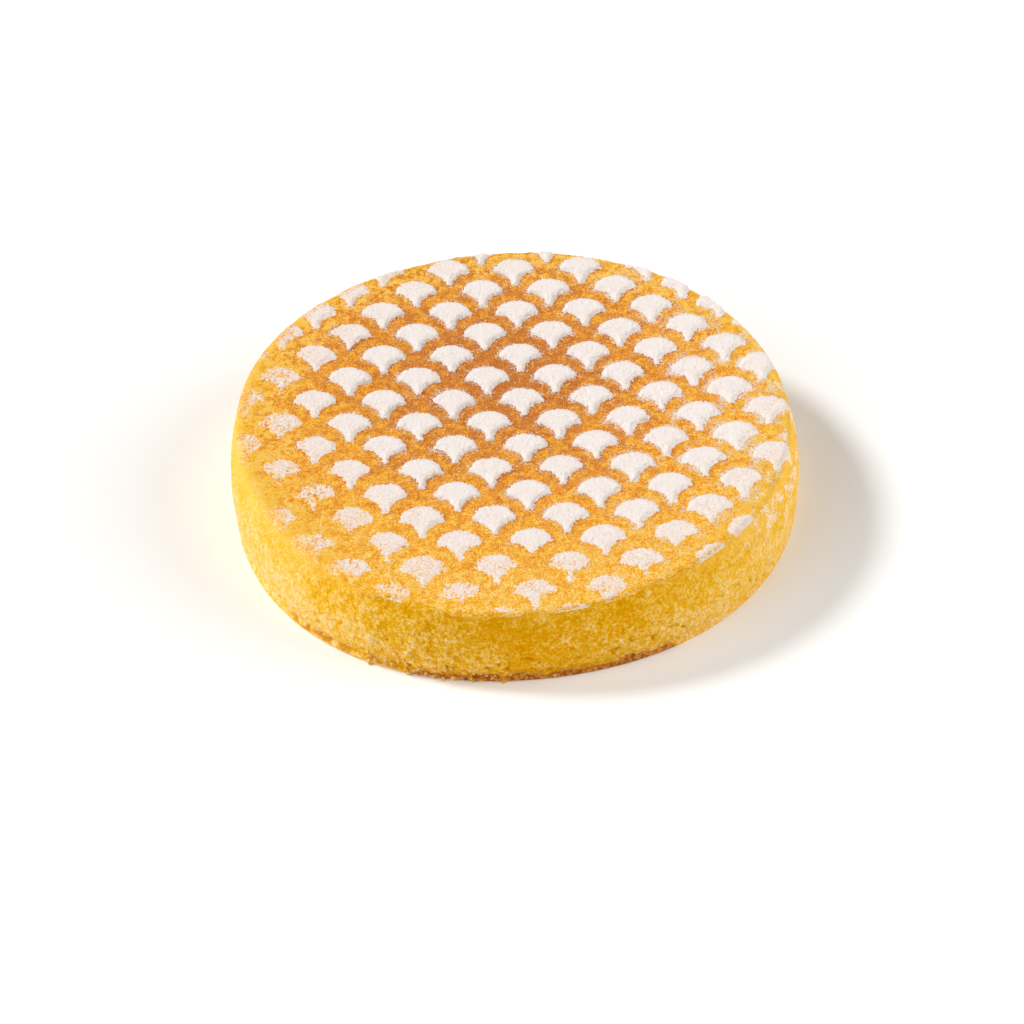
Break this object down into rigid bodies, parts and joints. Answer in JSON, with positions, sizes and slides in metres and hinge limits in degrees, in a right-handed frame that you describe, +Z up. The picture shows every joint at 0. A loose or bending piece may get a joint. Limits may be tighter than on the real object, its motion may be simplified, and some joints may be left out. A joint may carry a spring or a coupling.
{
  "type": "sponge cake",
  "caption": "Round flat uncut sponge cake with a narrow rim, bare crumbly sides, a thin browned foot and icing sugar sifted over the top in rows of small fans.",
  "frame": {"origin": "middle of the flat base", "axes": "+Z up through the top; the rows of sugar fans run along X, and their stems point to -Y, the side nearest the viewer of the picture"},
  "size_m": [0.2186, 0.217, 0.0401],
  "materials": {
    "sponge": "matte, open baked crumb, browned on top",
    "sugar": "matte, fine white powder"
  },
  "bodies": {
    "root": {"sponge": "sponge"}
  },
  "joints": []
}
